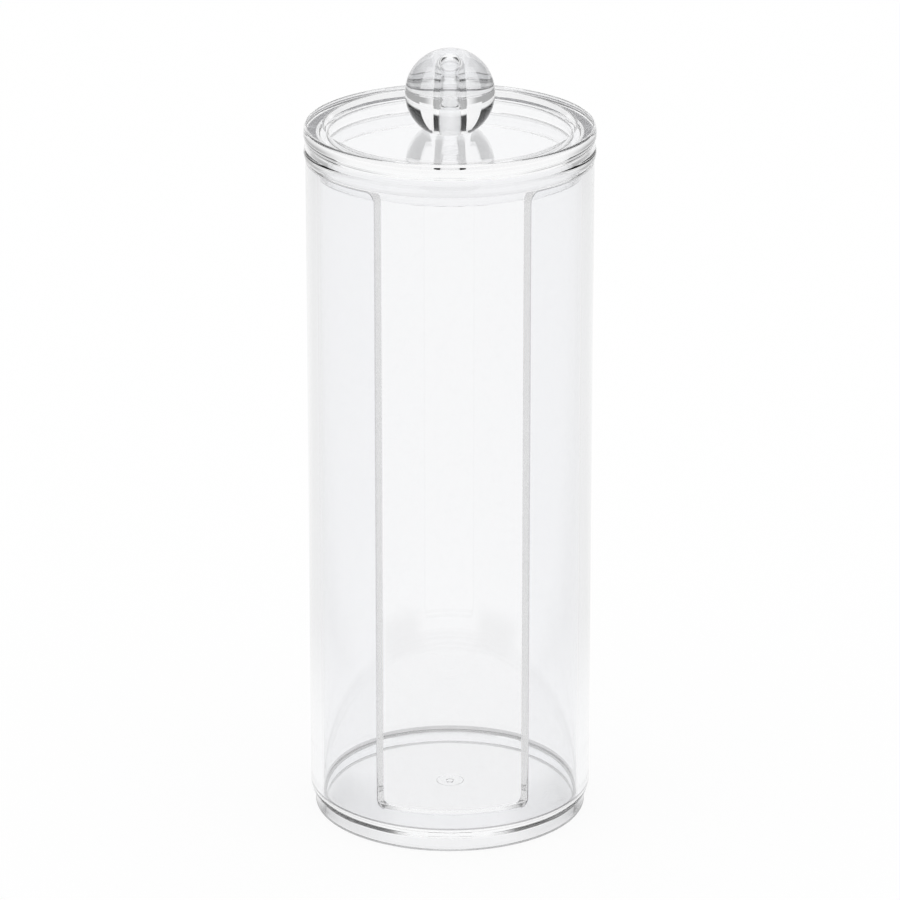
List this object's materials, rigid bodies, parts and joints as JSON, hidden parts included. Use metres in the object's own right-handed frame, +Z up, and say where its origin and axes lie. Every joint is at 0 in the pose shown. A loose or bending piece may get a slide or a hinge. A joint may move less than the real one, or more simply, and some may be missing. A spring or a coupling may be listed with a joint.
{
  "type": "cotton pad holder",
  "caption": "Clear upright tube that stores round cotton pads, with a tall front slot to take them out, a lift-off plug lid and a ball knob.",
  "frame": {"origin": "on the tube's axis, at the surface that the foot ring stands on", "axes": "+Z up along the tube's axis, -Y out of the front slot, +X to the right as seen from the front"},
  "size_m": [0.071, 0.071, 0.1957],
  "materials": {
    "clear_tube": "clear polished polystyrene",
    "clear_lid": "clear polished polystyrene",
    "clear_knob": "clear polished polystyrene"
  },
  "bodies": {
    "holder": {"body": "clear_tube"},
    "lid": {"lid": "clear_lid", "knob": "clear_knob"}
  },
  "joints": [
    {"name": "lid_lift", "type": "slide", "parent": "holder", "child": "lid", "axis": [0, 0, 1], "range_m": [0, 0.06]}
  ]
}
